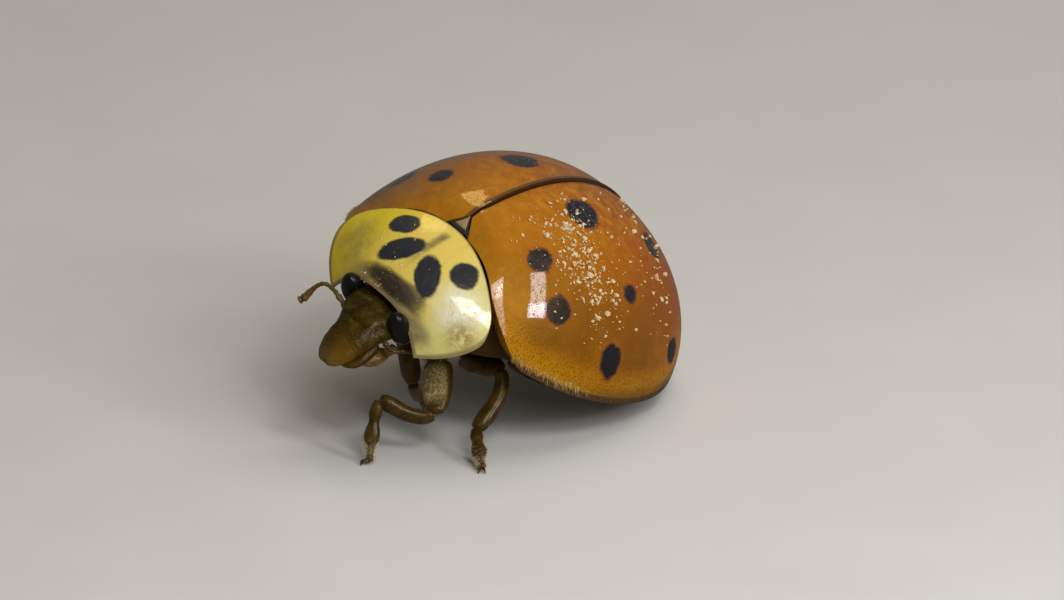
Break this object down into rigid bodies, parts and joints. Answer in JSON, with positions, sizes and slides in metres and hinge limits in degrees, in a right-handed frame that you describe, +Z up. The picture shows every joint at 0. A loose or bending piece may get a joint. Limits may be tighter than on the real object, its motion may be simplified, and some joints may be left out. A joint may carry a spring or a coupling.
{
  "type": "ladybird",
  "caption": "Life-size ladybird standing on its feet, leaning to its left, with domed spotted wing cases, a pale pronotum and its head bent down.",
  "frame": {"origin": "on the floor, under the middle of the whole animal's box", "axes": "+Z up, the beetle faces -Y, its left side is +X"},
  "size_m": [0.0054, 0.0074, 0.0042],
  "materials": {
    "wing_case": "glossy orange wing cases with black spots, paler towards the margin",
    "shield": "satin pale yellow with black marks",
    "eye": "glossy black",
    "face": "satin dark olive brown",
    "underside": "satin dark brown",
    "limb": "satin amber brown, finely haired"
  },
  "bodies": {
    "root": {"abdomen": "underside", "antenna_left": "limb", "antenna_right": "limb", "elytron_left": "wing_case", "elytron_right": "wing_case", "eye_left": "eye", "eye_right": "eye", "femur_fore_left": "limb", "femur_fore_right": "limb", "femur_hind_left": "limb", "femur_hind_right": "limb", "femur_mid_left": "limb", "femur_mid_right": "limb", "head": "face", "labrum": "face", "palp_left": "limb", "palp_right": "limb", "pronotum": "shield", "prothorax": "underside", "scutellum": "shield", "tarsus_fore_left": "limb", "tarsus_fore_right": "limb", "tarsus_hind_left": "limb", "tarsus_hind_right": "limb", "tarsus_mid_left": "limb", "tarsus_mid_right": "limb", "thorax": "underside", "tibia_fore_left": "limb", "tibia_fore_right": "limb", "tibia_hind_left": "limb", "tibia_hind_right": "limb", "tibia_mid_left": "limb", "tibia_mid_right": "limb"}
  },
  "joints": []
}
